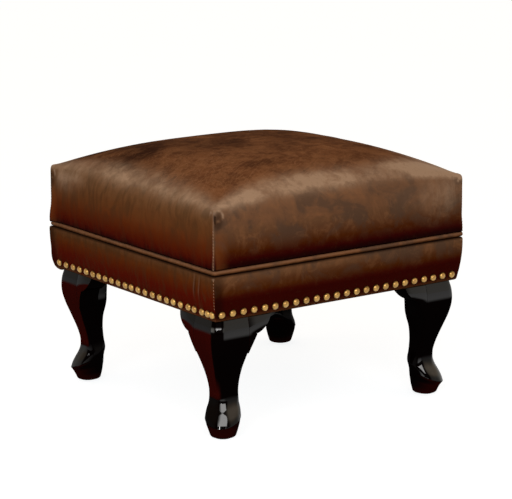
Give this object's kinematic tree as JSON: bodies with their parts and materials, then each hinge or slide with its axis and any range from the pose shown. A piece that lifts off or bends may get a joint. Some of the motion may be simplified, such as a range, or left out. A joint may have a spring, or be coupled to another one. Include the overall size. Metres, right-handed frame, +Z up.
{
  "type": "footstool",
  "caption": "Square upholstered footstool: a domed leather cushion over a nail-studded leather border, on dark cabriole legs.",
  "frame": {"origin": "on the floor, under the middle of the seat", "axes": "+Z up; -Y is the front and -X the left side; the plan is square, so the four sides are alike"},
  "size_m": [0.5366, 0.5366, 0.4501],
  "materials": {
    "seat_leather": "satin",
    "border_leather": "satin",
    "welt_leather": "satin",
    "dark_wood": "gloss",
    "pale_wood": "matte",
    "nail_brass": "satin",
    "steel": "satin",
    "nylon": "matte",
    "foam": "matte",
    "wadding": "matte",
    "jute": "matte",
    "black_cloth": "matte"
  },
  "bodies": {
    "root": {"leg_front_left": "dark_wood", "knee_block_front_left_on_front": "dark_wood", "knee_block_front_left_on_left": "dark_wood", "glide_front_left": "nylon", "corner_block_front_left": "pale_wood", "hanger_bolt_front_left": "steel", "washer_front_left": "steel", "nut_front_left": "steel", "leg_front_right": "dark_wood", "knee_block_front_right_on_front": "dark_wood", "knee_block_front_right_on_right": "dark_wood", "glide_front_right": "nylon", "corner_block_front_right": "pale_wood", "hanger_bolt_front_right": "steel", "washer_front_right": "steel", "nut_front_right": "steel", "leg_back_left": "dark_wood", "knee_block_back_left_on_back": "dark_wood", "knee_block_back_left_on_left": "dark_wood", "glide_back_left": "nylon", "corner_block_back_left": "pale_wood", "hanger_bolt_back_left": "steel", "washer_back_left": "steel", "nut_back_left": "steel", "leg_back_right": "dark_wood", "knee_block_back_right_on_back": "dark_wood", "knee_block_back_right_on_right": "dark_wood", "glide_back_right": "nylon", "corner_block_back_right": "pale_wood", "hanger_bolt_back_right": "steel", "washer_back_right": "steel", "nut_back_right": "steel", "rail_front": "pale_wood", "rail_right": "pale_wood", "rail_back": "pale_wood", "rail_left": "pale_wood", "webbing_lengthwise_1": "jute", "webbing_crosswise_1": "jute", "webbing_lengthwise_2": "jute", "webbing_crosswise_2": "jute", "webbing_lengthwise_3": "jute", "webbing_crosswise_3": "jute", "border_front": "border_leather", "border_wadding_front": "wadding", "border_right": "border_leather", "border_wadding_right": "wadding", "border_back": "border_leather", "border_wadding_back": "wadding", "border_left": "border_leather", "border_wadding_left": "wadding", "dust_cover": "black_cloth", "welt": "welt_leather", "hessian": "jute", "foam_block": "foam", "seat_wadding": "wadding", "seat_cover": "seat_leather"}
  },
  "joints": []
}
